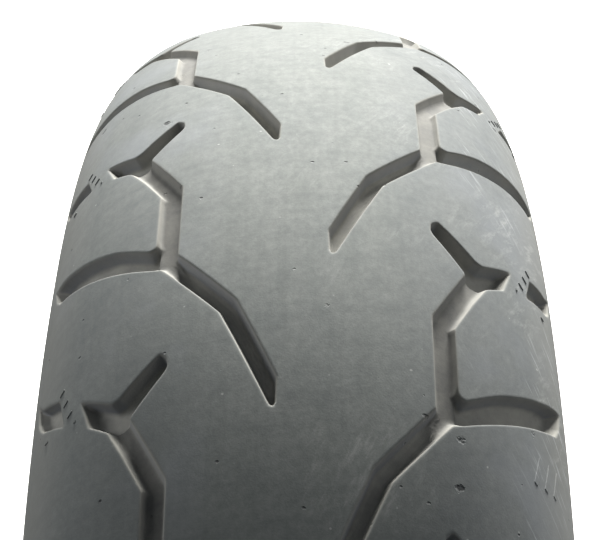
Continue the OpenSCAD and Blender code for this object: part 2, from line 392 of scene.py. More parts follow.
def edge_loops(outline, depth, tie_rise):
    """Loops of a groove's edge profile, and the distance field they come from.

    Each loop is (places [s, t], depths, tilts, downhill directions, share of the depth)."""
    points = np.array(outline)[:, :2]
    low, high = points.min(0) - 4, points.max(0) + 4
    s_axis = np.arange(low[0], high[0], GRID)
    t_axis = np.arange(low[1], high[1], GRID)
    s, t = np.meshgrid(s_axis, t_axis, indexing="ij")
    field = soften(outline_field(outline, s, t), 2)
    fall_s, fall_t = np.gradient(-field, GRID)
    loops = []
    for distance, share, tilt in EDGE:
        for line in contours(field, distance):
            if len(line) < 8:
                continue
            half = len(line) // 2
            halves = line[: half + 1], np.vstack([line[half:], line[:1]])
            line = np.vstack([
                resample(simplify(part, LOOP_TOLERANCE / GRID), EDGE_STEP / GRID)
                for part in halves
            ])
            if tie_rise and share > 0.05:
                line = refine(np.vstack([line, line[:1]]), low)
            i, j = np.round(line).astype(int).T
            downhill = np.stack([fall_s[i, j], fall_t[i, j]], -1)
            steepness = np.clip(np.linalg.norm(downhill, axis=1), 0.1, 1)
            downhill /= np.maximum(np.linalg.norm(downhill, axis=1), 1e-6)[:, None]
            places = low + line * GRID
            height = 1 - tie_rise * tie_bar(*places.T)
            tilts = np.arctan(math.tan(math.radians(tilt)) * steepness * height)
            loops.append((places, share * depth * height, tilts, downhill, share))
    return loops, (s_axis, t_axis, field)


def field_at(s_axis, t_axis, field, s, t):
    """Values of a grid field at the grid places nearest to s and t."""
    i = np.clip(np.round((s - s_axis[0]) / GRID).astype(int), 0, len(s_axis) - 1)
    j = np.clip(np.round((t - t_axis[0]) / GRID).astype(int), 0, len(t_axis) - 1)
    return field[i, j]


def tie_steps(s_axis, t_axis, field):
    """Places on a groove's floor where the tie bar rises, as (s, t, share of its height)."""
    s, t = np.meshgrid(
        np.arange(s_axis[0], s_axis[-1], TIE_STEP),
        np.arange(t_axis[0], t_axis[-1], TIE_STEP),
        indexing="ij",
    )
    change = np.abs(tie_bar(s + TIE_STEP, t) - tie_bar(s - TIE_STEP, t))
    change += np.abs(tie_bar(s, t + TIE_STEP) - tie_bar(s, t - TIE_STEP))
    on_floor = field_at(s_axis, t_axis, field, s, t) < EDGE[-1][0] - FLOOR_GAP
    chosen = on_floor & (change > TIE_CHANGE)
    return zip(s[chosen], t[chosen], tie_bar(s, t)[chosen])


def clear_of(fields, s, t, margin):
    """True where places keep a margin from every groove outline."""
    ok = np.ones(s.shape, bool)
    for s_axis, t_axis, field in fields:
        within = (s > s_axis[0]) & (s < s_axis[-1]) & (t > t_axis[0]) & (t < t_axis[-1])
        ok &= ~within | (field_at(s_axis, t_axis, field, s, t) > margin)
    return ok


def unit_mesh():
    """Triangles of one pattern unit of one half of the tread, in s and t."""
    points, depths, tilts, downhills, shares, edges = [], [], [], [], [], []

    def add(loop, depth=0.0, tilt=0.0, downhill=(0.0, 0.0), share=0.0, closed=False):
        first, count = len(points), len(loop)
        points.extend(Vector(p) for p in loop)
        depths.extend(np.broadcast_to(depth, count))
        tilts.extend(np.broadcast_to(tilt, count))
        downhills.extend(np.broadcast_to(downhill, (count, 2)))
        shares.extend(np.broadcast_to(share, count))
        for k in range(count if closed else count - 1):
            edges.append((first + k, first + (k + 1) % count))

    top = resample(np.array(UNIT_TOP, float), LAND_STEP)
    top = np.vstack([top, UNIT_TOP[-1]])
    bottom = top - [0, PITCH]
    centre = [(0, bottom[0][1] + k * PITCH / CENTRE_STEPS) for k in range(CENTRE_STEPS, 0, -1)]
    rim = [(TREAD_REACH, bottom[-1][1] + k * PITCH / EDGE_STEPS) for k in range(EDGE_STEPS)]
    border = np.vstack([bottom[:-1], rim, top[::-1][:-1], centre])
    add(border, closed=True)

    fields = []
    for outline, depth, rise in ((GROOVE, GROOVE_DEPTH, TIE_RISE), (NICK, NICK_DEPTH, 0)):
        loops, field = edge_loops(outline, depth, rise)
        fields.append(field)
        for loop in loops:
            add(*loop, closed=True)
        if rise:
            for *place, bar in tie_steps(*field):
                add([place], depth * (1 - rise * bar), share=1.0)

    low_t = np.interp(0, top[:, 0], top[:, 1]) - PITCH
    s, t = np.meshgrid(
        np.arange(LAND_STEP / 2, TREAD_REACH - 1, LAND_STEP * ROW_SHARE),
        np.arange(low_t, UNIT_TOP[-1][1], LAND_STEP),
        indexing="ij",
    )
    t[::2] += LAND_STEP / 2
    ceiling = np.interp(s, top[:, 0], top[:, 1])
    inside = (t < ceiling - BORDER_GAP) & (t > ceiling - PITCH + BORDER_GAP)
    inside &= clear_of(fields, s, t, EDGE[0][0] + GROOVE_GAP)
    for place in zip(s[inside], t[inside]):
        add([place])

    out_points, _, out_faces, origins, _, _ = delaunay_2d_cdt(points, edges, [], 0, 1e-4)
    source = [o[0] if o else -1 for o in origins]
    flat = np.array([[p.x, p.y] for p in out_points])
    picked = []
    for f in out_faces:
        corners = flat[list(f)]
        middle = corners.mean(0)
        ds, dt = (corners[1:] - corners[0]).T
        roof = np.interp(middle[0], top[:, 0], top[:, 1])
        within = 0 < middle[0] < TREAD_REACH and roof - PITCH < middle[1] < roof
        if within and ds[0] * dt[1] - ds[1] * dt[0] > SLIVER:
            picked.append(f)
    depth, tilt, downhill, share = (
        np.array(values, float)[source] for values in (depths, tilts, downhills, shares)
    )
    return {
        "places": flat, "faces": np.array(picked), "depth": depth, "tilt": tilt,
        "downhill": downhill, "share": share, "bar": tie_bar(*flat.T) * (share > 0.02),
    }


def tread_points(unit, side, turn):
    """Points and normals of a pattern unit on one side, turned by an angle in radians."""
    s, t = unit["places"].T
    slope = slope_at(s)
    around = turn + t / CROWN_R
    points = spin(skin(slope, unit["depth"]), around)
    a = np.radians(slope)
    normal = spin(direction(a), around)
    outward = spin(np.stack([-np.sin(a), np.cos(a)], -1), around)
    forward = np.stack([-np.sin(around), 0 * around, np.cos(around)], -1)
    fall = unit["downhill"][:, :1] * outward + unit["downhill"][:, 1:] * forward
    tilt = unit["tilt"][:, None]
    normal = np.cos(tilt) * normal + np.sin(tilt) * fall
    mirror = np.array([1, side, 1])
    return points * mirror, normal * mirror


def tread_surface():
    """Points, normals, [groove share, tie bar share] and faces of the whole outer surface."""
    unit = unit_mesh()
    points, normals, shares, faces = [], [], [], []
    count = len(unit["places"])
    for side in (1, -1):
        start = PHASE if side > 0 else PHASE - math.pi / PITCHES
        winding = unit["faces"] if side > 0 else unit["faces"][:, ::-1]
        for k in range(PITCHES):
            p, n = tread_points(unit, side, start + k * 2 * math.pi / PITCHES)
            faces.append(winding + count * len(points))
            points.append(p)
            normals.append(n)
            shares.append(np.stack([unit["share"], unit["bar"]], -1))
    points, normals, shares, faces = map(np.vstack, (points, normals, shares, faces))
    welded = np.round(points + WELD_SHIFT, WELD_DIGITS) + 0.0
    _, first, index = np.unique(welded, axis=0, return_index=True, return_inverse=True)
    points, normals, shares = points[first], normals[first], shares[first]
    faces = index.ravel()[faces]

    p, q, r = (points[faces[:, i]] for i in range(3))
    wrong = np.einsum("ij,ij->i", np.cross(q - p, r - p), normals[faces[:, 0]]) < 0
    if wrong.mean() > 0.5:
        faces = faces[:, ::-1]
    return points, normals, shares, faces


def build_tread(material):
    """The grooved outer surface, closed below by a plain underside."""
    points, normals, shares, faces = tread_surface()
    columns = PITCHES * EDGE_STEPS
    rows = UNDER_ROWS
    slopes = np.linspace(-TREAD_END, TREAD_END, rows)
    depths = np.interp(np.abs(slopes), [0, 72, TREAD_END], [7.0, 6.7, 0.8])
    turns = PHASE + np.arange(columns) * 2 * math.pi / columns
    turns = turns + (UNIT_TOP[-1][1] / CROWN_R) % (2 * math.pi / columns)
    under = spin(skin(slopes, depths)[None], turns[:, None]).reshape(-1, 3)
    under_faces = np.array(grid_faces(columns, rows, closed_rows=False))[:, ::-1]
    base = len(points)
    rims = []
    for side in (-1, 1):
        edge = spin(skin(np.array([side * TREAD_END]))[None, 0], turns)
        rims.append([int(np.argmin(np.sum((points - e) ** 2, 1))) for e in edge])
    left, right = rims
    last = rows - 1
    all_faces = faces.tolist() + (under_faces + base).tolist()
    for i in range(columns):
        j = (i + 1) % columns
        all_faces.append([left[i], left[j], base + j * rows, base + i * rows])
        all_faces.append([right[j], right[i], base + i * rows + last, base + j * rows + last])
    slope = np.radians(np.tile(slopes, columns))
    under_normals = -spin(direction(slope), np.repeat(turns, rows))
    places = np.vstack([points, under])
    obj = new_object("tread_cap_worn", places, all_faces, material)
    obj.data.shade_smooth()
    obj.data.normals_split_custom_set_from_vertices(np.vstack([normals, under_normals]).tolist())
    groove, tie = shares.T
    lip = np.interp(groove, [0, 0.03, 0.12, 0.4, 1], [0, 0.7, 1, 0, 0])
    for name, values in (("groove", groove), ("tie", tie), ("lip", lip)):
        paint(obj, name, np.concatenate([values, np.zeros(len(under))]))
    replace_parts(obj, "tread_cap")


# ---- Sidewalls, beads and liner ----

# Raised rings [middle slope, half width, ramp width, height] in degrees and millimetres
SIDEWALL_RINGS = [(86.0, 0.5, 0.25, 0.4), (94.0, 0.9, 0.5, 0.7), (118.5, 0.9, 0.5, 0.7)]
RIM_LINES = [(139.6, 0.3, 0.3, 0.6), (142.2, 0.3, 0.3, 0.6)]

SECTION_STEP = 0.25  # degrees between points of the outer section
HEEL_R = 4.7
LIP_FOOT = SEAT_R + 6.3  # where the flange face ends and the rim strip's curve starts
STRIP_ROOT = 0.4  # thickness of the rim strip behind the flange face
BEAD_TOP = SEAT_R + 11.5
TOE_Y = FLANGE_Y - 17.6
SHELL = 1.1  # thickness of the chafer


def bumped(a0, a1, rings):
    """Outer section points from slope a0 to a1 with raised rings."""
    slopes = np.arange(a0, a1 + SECTION_STEP / 2, SECTION_STEP)
    height = np.zeros_like(slopes)
    for middle, half, ramp, rise in rings:
        gap = np.abs(slopes - middle)
        height += rise * np.clip((half + ramp - gap) / ramp, 0, 1)
    keep = np.ones(len(slopes), bool)
    for k in range(1, len(slopes) - 1):
        plain = height[k - 1] == height[k] == height[k + 1]
        keep[k] = not (plain and k % 8)
    return skin(slopes[keep], -height[keep]).tolist()


def sidewall_section():
    """From the end of the tread to the rim strip, with a hidden back."""
    hidden = skin([132, 126, 114, 100, 84], [2.2, 2.4, 3.0, 3.0, 3.0]).tolist()
    return bumped(TREAD_END, SIDEWALL_END, SIDEWALL_RINGS) + hidden


def rim_strip_section():
    """From the end of the sidewall over the curve that lies on the flange lip."""
    lip = [
        [LIP_FOOT + FLANGE_LIP_R * math.sin(q), FLANGE_Y + FLANGE_LIP_R * (1 - math.cos(q))]
        for q in np.radians(np.arange(75, -1, -7.5))
    ]
    hidden = [[BEAD_TOP, FLANGE_Y - STRIP_ROOT]] + skin([132, 127], 2.2).tolist()
    return bumped(SIDEWALL_END, LOWER_END, RIM_LINES) + lip + hidden


def heel(radius):
    """Quarter circle from the seat to the flange face."""
    return [
        [SEAT_R + HEEL_R - radius * math.cos(q), FLANGE_Y - HEEL_R + radius * math.sin(q)]
        for q in np.radians(np.arange(0, 91, 7.5))
    ]


def chafer_section():
    """Toe, seat, heel and flange face of the bead, as a shell."""
    bevel = 0.9
    toe = [[BEAD_TOP, TOE_Y + 1.4], [SEAT_R + bevel, TOE_Y], [SEAT_R, TOE_Y + bevel]]
    flange = [[LIP_FOOT, FLANGE_Y], [BEAD_TOP, FLANGE_Y - STRIP_ROOT]]
    inside = [[BEAD_TOP, FLANGE_Y - SHELL]] + heel(HEEL_R - SHELL)[::-1]
    inside += [[SEAT_R + SHELL, TOE_Y + 6], [SEAT_R + 4, TOE_Y + 2.8], [BEAD_TOP, TOE_Y + 2.6]]
    return toe + heel(HEEL_R) + flange + inside


def liner_line(raise_by):
    """One side of the liner from the crown to the bead, at a height above the cavity face."""
    slopes = np.arange(0, 133, 2.0)
    stations = [0, 42, 54, 60, 66, 72, 78, 84, 90, 102, 108, 114, 120, 126, 132]
    depths = [15.4, 15.4, 16.6, 16, 14.7, 12.6, 10.5, 8.6, 7.5, 7.1, 8.1, 8.6, 9.4, 11.5, 14.3]
    depth = np.pad(np.interp(slopes, stations, depths), 3, mode="edge")
    depth = np.convolve(depth, np.ones(7) / 7, mode="valid") - raise_by
    return skin(slopes, depth).tolist() + [[BEAD_TOP + 0.4, TOE_Y + 1.1 + raise_by]]


def build_liner(material):
    """The airtight skin from toe to toe."""
    cavity, back = liner_line(0), liner_line(0.9)
    section = mirror_section(cavity)[:-1] + cavity + back[::-1] + mirror_section(back)[::-1][1:]
    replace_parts(lathe("inner_liner_skin", section, material), "inner_liner")


def both_sides(name, section, material, node):
    """Builds the left and right ring of a section and lets each stand for its CAD node."""
    for side, half in (("right", section), ("left", mirror_section(section))):
        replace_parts(lathe(f"{name}_{side}", half, material), f"{node}_{side}")


# ---- Raised marks ----

MARK_BAND = 106.0  # slope of the band that holds the sidewall's marks
SERRATION = (121.5, 130.5)  # slopes between which the fine ribs stand
SERRATIONS = 720


def stroke(slope, turn, path, width, height, sink=0.4):
    """A raised line on the surface as (points, faces).

    The path is in millimetres from the place at a slope and turn in degrees: u runs away from
    the crown and v around the axle."""
    path = np.array(path, float)
    closed = np.allclose(path[0], path[-1])
    line = resample(path, 2.0)
    if not closed:
        line = np.vstack([line, path[-1]])
    ahead = np.roll(line, -1, 0) - line
    behind = line - np.roll(line, 1, 0)
    if not closed:
        ahead[-1], behind[0] = behind[-1], ahead[0]
    ahead /= np.linalg.norm(ahead, axis=1)[:, None]
    behind /= np.linalg.norm(behind, axis=1)[:, None]
    tangent = ahead + behind
    tangent /= np.linalg.norm(tangent, axis=1)[:, None]
    stretch = 1 / np.maximum(0.5, np.sum(tangent * ahead, 1))
    across = np.stack([-tangent[:, 1], tangent[:, 0]], -1) * stretch[:, None]

    bevel = min(0.3, width / 4)
    inner = width / 2 - bevel
    steps = max(1, int(math.ceil(2 * inner / 2.5)))
    rails = [-width / 2] + [inner * (2 * k / steps - 1) for k in range(steps + 1)] + [width / 2]
    lifts = [-sink] + [height] * (steps + 1) + [-sink]
    per_degree = (SIDE_ARC if slope < 90 else LOWER_ARC) * math.pi / 180
    radius = skin(slope)[0]
    points = []
    for centre, normal in zip(line, across):
        for rail, lift in zip(rails, lifts):
            u, v = centre + normal * rail
            at = skin(slope + u / per_degree, -lift)
            points.append(spin(at, np.array(math.radians(turn) + v / radius)).ravel())
    rows, count = len(rails), len(line)
    faces = grid_faces(count, rows, closed)
    if not closed:
        faces.append(list(range(rows)))
        faces.append([(count - 1) * rows + k for k in range(rows - 1, -1, -1)])
    return points, faces


def raised(name, strokes, side, material):
    """One object of raised lines on a side, 1 for right and -1 for left."""
    points, faces = [], []
    for p, f in strokes:
        faces += [[k + len(points) for k in loop] for loop in f]
        points += p
    points = np.array(points) * [1, side, 1]
    obj = new_object(name, points, faces, material)
    face_outward(obj)
    smooth(obj, 25)


def face_outward(obj):
    """Turns the faces of each closed shell outward."""
    work = bmesh.new()
    work.from_mesh(obj.data)
    bmesh.ops.recalc_face_normals(work, faces=work.faces)
    work.to_mesh(obj.data)
    work.free()


def rounded_frame(length, width, corner):
    """Closed rounded rectangle around the local origin, width along u and length along v."""
    path = []
    for cu, cv, start in ((1, 1, 0), (-1, 1, 90), (-1, -1, 180), (1, -1, 270)):
        for q in np.radians(np.arange(start, start + 91, 22.5)):
            u = cu * (width / 2 - corner) + corner * math.cos(q)
            v = cv * (length / 2 - corner) + corner * math.sin(q)
            path.append((u, v))
    return path + path[:1]


def row(count, pitch):
    """Places of a row that is centred on 0."""
    return [(k - (count - 1) / 2) * pitch for k in range(count)]


def bar_group(turn, lengths, pitch, slant):
    """A row of plain slanted bars, each centred in the marking band."""
    marks = []
    for v, length in zip(row(len(lengths), pitch), lengths):
        path = [(-length / 2, v - slant * length / 2), (length / 2, v + slant * length / 2)]
        marks.append(stroke(MARK_BAND, turn, path, 3.6, 0.8))
    return marks


def chevrons(turn, count):
    """Plain arrow heads that point the way the wheel turns."""
    paths = [[(-6, v - 6), (0, v), (6, v - 6)] for v in row(count, 9)]
    return [stroke(MARK_BAND, turn, path, 2.2, 0.7) for path in paths]


def panel(turn, length, dashes):
    """A framed panel with short dashes in it."""
    marks = [stroke(MARK_BAND, turn, rounded_frame(length, 11, 3), 0.9, 0.6)]
    for v in row(dashes, (length - 12) / (dashes - 1)):
        marks.append(stroke(MARK_BAND, turn, [(-2.6, v), (2.6, v)], 1.6, 0.5))
    return marks


def shoulder_marks(side):
    """Small dashes and a dot beside each nick, and three bars on every sixth unit."""
    marks = []
    start = 0 if side > 0 else -180 / PITCHES
    for k in range(PITCHES):
        turn = math.degrees(PHASE) + start + k * 360 / PITCHES

        def mark(s, t, path, width, height):
            place = float(slope_at(s))
            return stroke(place, turn + math.degrees(t / CROWN_R), path, width, height, 0.3)

        dash = [(-1.5, 0.8), (1.3, -0.8)]
        for step in range(3):
            marks.append(mark(79.5 - 2.6 * step, 76 - 5.5 * step, dash, 0.8, 0.3))
        marks.append(mark(71.5, 61, [(-0.5, 0), (0.5, 0)], 1.3, 0.3))
        marks.append(mark(87.5, 61.5, [(-1.2, 0), (1.4, 0)], 0.8, 0.3))
        if k % 6 == 2:
            for bar in range(3):
                marks.append(mark(75 + 5.5 * bar, -10, [(-2.2, -4.5), (2.2, 4.5)], 2.6, 0.15))
    return marks


def sidewall_marks():
    """Bars, framed panels and arrow heads where a real tire has its lettering."""
    marks = []
    for turn in (0, 180):
        marks += bar_group(turn + 30, [15, 15, 11, 15, 11, 15, 15, 11], 9, 0.25)
        marks += panel(turn + 72, 84, 9)
        marks += chevrons(turn + 98, 3)
        marks += bar_group(turn + 122, [9, 13, 9, 13, 9], 8, -0.2)
        marks += panel(turn + 152, 60, 6)
    return marks


def serration_ribs():
    """Fine ribs that stand across the sidewall just outside the rim strip."""
    middle = sum(SERRATION) / 2
    reach = (SERRATION[1] - SERRATION[0]) / 2 * LOWER_ARC * math.pi / 180
    return [
        stroke(middle, k * 360 / SERRATIONS, [(-reach, 0), (0, 0), (reach, 0)], 0.8, 0.3)
        for k in range(SERRATIONS)
    ]


# ---- Materials ----


class Shader:
    """Short way to build the nodes of a new material, or of a world handed in.

    A material's places are object coordinates, in metres."""

    def __init__(self, owner, surface="Principled BSDF", coordinates="Object"):
        self.owner = bpy.data.materials.new(owner) if isinstance(owner, str) else owner
        self.owner.use_nodes = True
        self.tree = self.owner.node_tree
        self.surface = self.tree.nodes[surface]
        self.place = self.add("ShaderNodeTexCoord").outputs[coordinates]
        self.axes = self.add("ShaderNodeSeparateXYZ", {0: self.place}).outputs

    def put(self, socket, value):
        """Links a node's output to a socket, or sets the socket to a plain value."""
        if isinstance(value, bpy.types.NodeSocket):
            self.tree.links.new(value, socket)
        else:
            socket.default_value = value

    def add(self, kind, inputs=None, **settings):
        """A node of a kind, with values or links for its inputs."""
        node = self.tree.nodes.new(kind)
        for key, value in settings.items():
            setattr(node, key, value)
        for key, value in (inputs or {}).items():
            self.put(node.inputs[key], value)
        return node

    def math(self, operation, *values):
        return self.add("ShaderNodeMath", dict(enumerate(values)), operation=operation).outputs[0]

    def times(self, a, b):
        return self.math("MULTIPLY", a, b)

    def attribute(self, name):
        """Value that paint() stored on the mesh."""
        return self.add("ShaderNodeAttribute", attribute_name=name).outputs["Fac"]

    def stretched(self, x, y, z, turn=(0, 0, 0)):
        """Coordinates scaled along each axis after a turn in degrees, for streaks."""
        turn = [math.radians(v) for v in turn]
        node = self.add("ShaderNodeMapping", {"Vector": self.place, "Rotation": turn})
        inputs = {0: node.outputs[0], 1: (x, y, z)}
        return self.add("ShaderNodeVectorMath", inputs, operation="MULTIPLY").outputs[0]

    def around_axle(self, around, across):
        """Coordinates that change slowly around the axle and fast across it, with no seam."""
        x, y, z = self.axes
        squares = [self.math("POWER", v, 2.0) for v in (x, z)]
        radius = self.math("SQRT", self.math("ADD", *squares))
        x, z = (self.times(self.math("DIVIDE", v, radius), around) for v in (x, z))
        inputs = {0: x, 1: self.times(y, across), 2: z}
        return self.add("ShaderNodeCombineXYZ", inputs).outputs[0]

    def around_shoulder(self, start, end):
        """Share that rises from 0 to 1 between two distances from the centre plane."""
        return self.span(self.math("ABSOLUTE", self.axes[1]), start, end)

    def slanted(self, degrees, along, across):
        """Coordinates on the unrolled tread, scaled along a line at an angle and across it."""
        x, y, z = self.axes
        turned = self.times(self.math("ARCTAN2", z, x), CROWN_R * MM)
        cos, sin = math.cos(math.radians(degrees)), math.sin(math.radians(degrees))
        inputs = {}
        for socket, a, b in ((0, cos * along, sin * along), (1, -sin * across, cos * across)):
            inputs[socket] = self.math("ADD", self.times(y, a), self.times(turned, b))
        return self.add("ShaderNodeCombineXYZ", inputs).outputs[0]

    def across_tread(self, start, end):
        """Share that rises from 0 to 1 between two places across the tread."""
        return self.span(self.axes[1], start, end)

    def noise(self, scale, detail, roughness, place=None):
        inputs = {"Scale": scale, "Detail": detail, "Roughness": roughness}
        inputs["Vector"] = place or self.place
        return self.add("ShaderNodeTexNoise", inputs).outputs[0]

    def streaks(self, detail, roughness, place):
        """Noise on coordinates that already carry their scale."""
        return self.noise(1.0, detail, roughness, place)

    def span(self, value, low, high, out_low=0.0, out_high=1.0):
        """Value mapped from one range to another and kept within it."""
        inputs = {0: value, 1: low, 2: high, 3: out_low, 4: out_high}
        return self.add("ShaderNodeMapRange", inputs).outputs[0]

    def spots(self, scale, radius, share, place=None, ragged=0.0):
        """Mask of spots in a share of the cells, 1 inside; ragged ones have an uneven rim."""
        node = self.add("ShaderNodeTexVoronoi", {"Vector": place or self.place, "Scale": scale})
        draw = self.add("ShaderNodeSeparateColor", {0: node.outputs["Color"]}).outputs[0]
        distance = node.outputs["Distance"]
        if ragged:
            uneven = self.span(self.noise(700, 2, 0.6), 0.3, 0.7, -ragged, ragged)
            distance = self.math("ADD", distance, uneven)
        dot = self.span(distance, radius, radius * 0.45)
        return self.times(dot, self.math("LESS_THAN", draw, share))

    def mix(self, share, a, b):
        """Colour a where the share is 0 and b where it is 1."""
        node = self.add("ShaderNodeMix", data_type="RGBA")
        for socket, value in ((node.inputs[0], share), (node.inputs[6], a), (node.inputs[7], b)):
            self.put(socket, (*value, 1) if isinstance(value, tuple) else value)
        return node.outputs[2]

    def over(self, base, mask, strength, color):
        """Lays a colour over a base where the mask is 1, at a strength."""
        return self.mix(self.times(mask, strength), base, color)

    def bump(self, height, distance, strength=1.0):
        inputs = {"Height": height, "Distance": distance, "Strength": strength}
        return self.add("ShaderNodeBump", inputs).outputs[0]

    def finish(self, color, roughness, **more):
        """Feeds the surface; an underscore in a name stands for a space."""
        for key, value in {"Base_Color": color, "Roughness": roughness, **more}.items():
            self.put(self.surface.inputs[key.replace("_", " ")], value)
        return self.owner


def land_color(m, patches, mottle, grain, pits):
    """Pale dusty land, rubbed along the road, with bloom, scuffs, hair scratches and painted shade
    on the back half.
    """
    lines = m.span(m.streaks(3, 0.6, m.around_axle(2.2, 420)), 0.45, 0.75)
    bloom = m.span(m.streaks(3, 0.6, m.stretched(24, 24, 24, (50, 0, 30))), 0.5, 0.66)
    scuffs = m.span(m.streaks(5, 0.75, m.slanted(65, 90, 330)), 0.5, 0.7)
    scuff_zone = m.times(m.span(m.noise(21, 2, 0.5), 0.5, 0.64), m.across_tread(-0.02, 0.02))
    scratch = m.span(m.streaks(2, 0.5, m.slanted(-62, 75, 1000)), 0.58, 0.72)
    scratch = m.times(scratch, m.across_tread(0.044, 0.058))
    scratch = m.times(scratch, m.span(m.noise(30, 2, 0.5), 0.42, 0.6))
    specks = m.spots(1.0, 0.05, 0.6, m.stretched(110, 110, 110, (20, 30, 10)), 0.02)
    land = m.mix(patches, (0.166, 0.183, 0.178), (0.208, 0.224, 0.21))
    for mask, strength, color in (
        (m.across_tread(0.02, 0.055), 0.7, (0.176, 0.19, 0.206)),
        (m.span(m.noise(38, 4, 0.6), 0.33, 0.67), 0.45, (0.262, 0.276, 0.258)),
        (m.span(m.streaks(4, 0.6, m.slanted(90, 16, 90)), 0.35, 0.68), 0.45, (0.27, 0.283, 0.274)),
        (m.span(m.streaks(4, 0.6, m.slanted(8, 30, 240)), 0.45, 0.75), 0.42,
         (0.125, 0.134, 0.136)),
        (mottle, 0.55, (0.276, 0.29, 0.272)),
        (m.span(m.noise(420, 4, 0.7), 0.35, 0.65), 0.4, (0.13, 0.139, 0.139)),
        (lines, 0.14, (0.12, 0.127, 0.126)),
        (m.span(grain, 0.35, 0.75), 0.22, (0.12, 0.128, 0.128)),
        (m.times(bloom, m.around_shoulder(0.024, 0.04)), 0.4, (0.27, 0.287, 0.306)),
        # painted shade: the land turns darker towards the back half, away from the camera
        (m.span(m.axes[0], 0.06, -0.05), 0.45, (0.12, 0.127, 0.122)),
        (m.around_shoulder(0.022, 0.05), 0.3, (0.11, 0.119, 0.124)),
        (m.around_shoulder(0.066, 0.078), 0.5, (0.25, 0.25, 0.232)),
        (m.times(scuffs, scuff_zone), 0.55, (0.4, 0.41, 0.39)),
        (scratch, 0.8, (0.42, 0.435, 0.44)),
        (specks, 0.6, (0.48, 0.485, 0.46)),
        (pits, 0.8, (0.045, 0.046, 0.048)),
    ):
        land = m.over(land, mask, strength, color)
    return land


def tread_rubber():
    """Worn road rubber: pale scuffed land, dusty groove floors, lips with dust and a painted
    highlight, darker walls with painted light where they face down and dust with painted shade
    where they face up, and painted shade on the back half.
    """
    m = Shader("tread_rubber")
    patches = m.span(m.noise(11, 3, 0.6), 0.35, 0.65)
    mottle = m.span(m.noise(150, 5, 0.75), 0.3, 0.7)
    grain = m.noise(1500, 2, 0.7)
    big_pits = m.spots(1.0, 0.085, 0.45, m.stretched(62, 48, 62), 0.03)
    small_pits = m.spots(1.0, 0.07, 0.6, m.stretched(125, 105, 125, (15, 40, 0)), 0.02)
    pits = m.math("MAXIMUM", big_pits, small_pits)
    land = land_color(m, patches, mottle, grain, pits)

    groove = m.attribute("groove")
    # pale cool tone of the walls that face down into shade: painted fill light with a cool painted
    # shade tint
    wall = m.mix(mottle, (0.225, 0.236, 0.255), (0.28, 0.287, 0.295))
    dust = m.span(m.noise(130, 4, 0.7), 0.3, 0.7)
    floor = m.mix(dust, (0.28, 0.279, 0.262), (0.38, 0.375, 0.343))
    slope = m.mix(dust, (0.19, 0.19, 0.176), (0.26, 0.256, 0.232))
    holes = m.spots(1.0, 0.07, 0.3, m.stretched(120, 120, 120))
    floor = m.over(floor, holes, 0.7, (0.05, 0.05, 0.045))
    # walls that face up take the darker slope tone: dust that settles there, and painted shade
    # that tones down the light on them
    facing = m.add("ShaderNodeSeparateXYZ", {0: m.add("ShaderNodeNewGeometry").outputs["Normal"]})
    upward_dust_and_shade = m.span(facing.outputs[2], -0.05, 0.3)
    wall = m.over(wall, upward_dust_and_shade, 0.9, slope)
    color = m.mix(m.span(groove, 0.02, 0.16), land, wall)
    # the floor on the raised tie bar gets a darker tone
    worn = m.mix(dust, (0.13, 0.131, 0.126), (0.2, 0.198, 0.182))
    floor = m.mix(m.attribute("tie"), floor, worn)
    color = m.mix(m.span(groove, 0.7, 0.97), color, floor)
    # pale dust on every groove lip, partly a painted highlight along the edges
    lip_dust_and_highlight = m.times(m.attribute("lip"), m.span(m.noise(60, 3, 0.6), 0.25, 0.6, 0.2, 0.7))
    color = m.mix(lip_dust_and_highlight, color, (0.3, 0.293, 0.262))

    # painted shade: the back half of the tread, towards -X, is painted much darker
    back_half_painted_shade = m.span(m.math("ADD", m.axes[0], m.span(patches, 0, 1, -0.03, 0.03)), -0.06, -0.24)
    color = m.over(color, back_half_painted_shade, 0.68, (0.045, 0.047, 0.047))

    height = m.math("SUBTRACT", m.times(grain, 0.5), m.times(pits, 5.0))
    rough = m.span(mottle, 0, 1, 0.9, 0.8)
    return m.finish(color, rough, Normal=m.bump(height, 0.00008), Specular_IOR_Level=0.08)


def sidewall_rubber():
    """Cleaner black rubber with mould lines around the axle and a film of dust."""
    m = Shader("sidewall_rubber")
    film = m.span(m.noise(16, 4, 0.6), 0.35, 0.7)
    fine = m.noise(1300, 3, 0.6)
    rings = m.streaks(2, 0.5, m.around_axle(1.2, 900))
    color = m.mix(film, (0.045, 0.046, 0.047), (0.085, 0.085, 0.081))
    color = m.mix(m.span(rings, 0.5, 0.8, 0.0, 0.35), color, (0.13, 0.13, 0.124))
    color = m.over(color, m.spots(90, 0.05, 0.2), 0.5, (0.16, 0.155, 0.14))
    height = m.math("ADD", m.times(fine, 0.4), rings)
    return m.finish(color, m.span(film, 0, 1, 0.42, 0.62), Normal=m.bump(height, 0.0002, 0.6))


def bead_rubber():
    """Hard matt rubber, rubbed where it sat on the rim."""
    m = Shader("bead_rubber")
    rub = m.span(m.streaks(4, 0.6, m.around_axle(3.0, 260)), 0.45, 0.7)
    weave = m.noise(700, 2, 0.5)
    color = m.mix(rub, (0.022, 0.022, 0.023), (0.06, 0.059, 0.056))
    height = m.math("ADD", weave, m.times(rub, 0.8))
    return m.finish(color, m.span(rub, 0, 1, 0.6, 0.42), Normal=m.bump(height, 0.0003, 0.6))


def liner_rubber():
    """Smooth sealing rubber with pale talc left from the mould."""
    m = Shader("liner_rubber")
    talc = m.span(m.noise(22, 5, 0.65), 0.45, 0.75)
    fine = m.noise(420, 3, 0.6)
    color = m.mix(talc, (0.045, 0.045, 0.047), (0.13, 0.13, 0.125))
    return m.finish(color, m.span(talc, 0, 1, 0.38, 0.66), Normal=m.bump(fine, 0.0003, 0.5))


